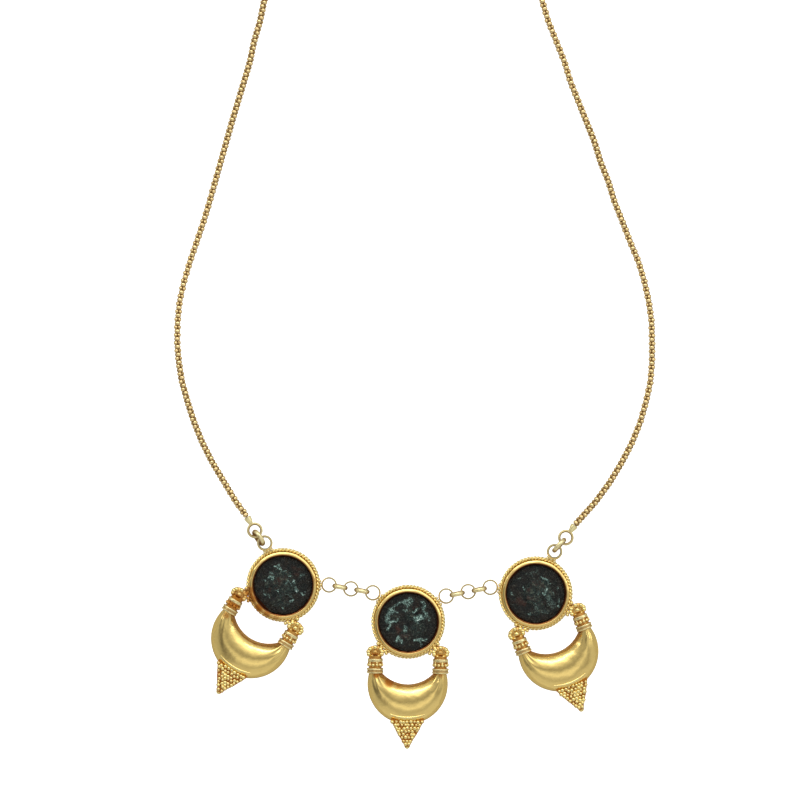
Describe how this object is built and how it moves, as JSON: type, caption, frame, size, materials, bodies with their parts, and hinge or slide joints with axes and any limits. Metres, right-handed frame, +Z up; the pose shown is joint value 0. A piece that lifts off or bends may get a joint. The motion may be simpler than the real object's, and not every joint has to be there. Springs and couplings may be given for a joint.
{
  "type": "coin necklace",
  "caption": "Necklace of old patinated coins in rope-edged gold settings with crescents and granulated points, linked in a row and hung on a round chain.",
  "frame": {"origin": "middle of the centre setting's back, on the surface the necklace lies on", "axes": "+X to the wearer's left along the row of coins, +Y from the coins to the clasp, +Z up out of the coins' faces"},
  "size_m": [0.1208, 0.2149, 0.0048],
  "materials": {
    "gold": "polished yellow gold plate with darker recesses",
    "pale_gold": "polished paler gold wire",
    "patina": "old bronze, near black, with turquoise verdigris on the relief"
  },
  "bodies": {
    "root": {"left_setting": "gold", "centre_setting": "gold", "right_setting": "gold", "left_coin": "patina", "centre_coin": "patina", "right_coin": "patina", "left_link_1": "pale_gold", "left_link_2": "pale_gold", "left_link_3": "pale_gold", "right_link_1": "pale_gold", "right_link_2": "pale_gold", "right_link_3": "pale_gold", "left_hanger": "pale_gold", "right_hanger": "pale_gold", "left_front_end": "gold", "right_front_end": "gold", "left_chain": "gold", "right_chain": "gold", "left_back_end": "gold", "right_back_end": "gold", "left_back_link": "pale_gold", "right_back_link": "pale_gold", "clasp": "gold"}
  },
  "joints": []
}
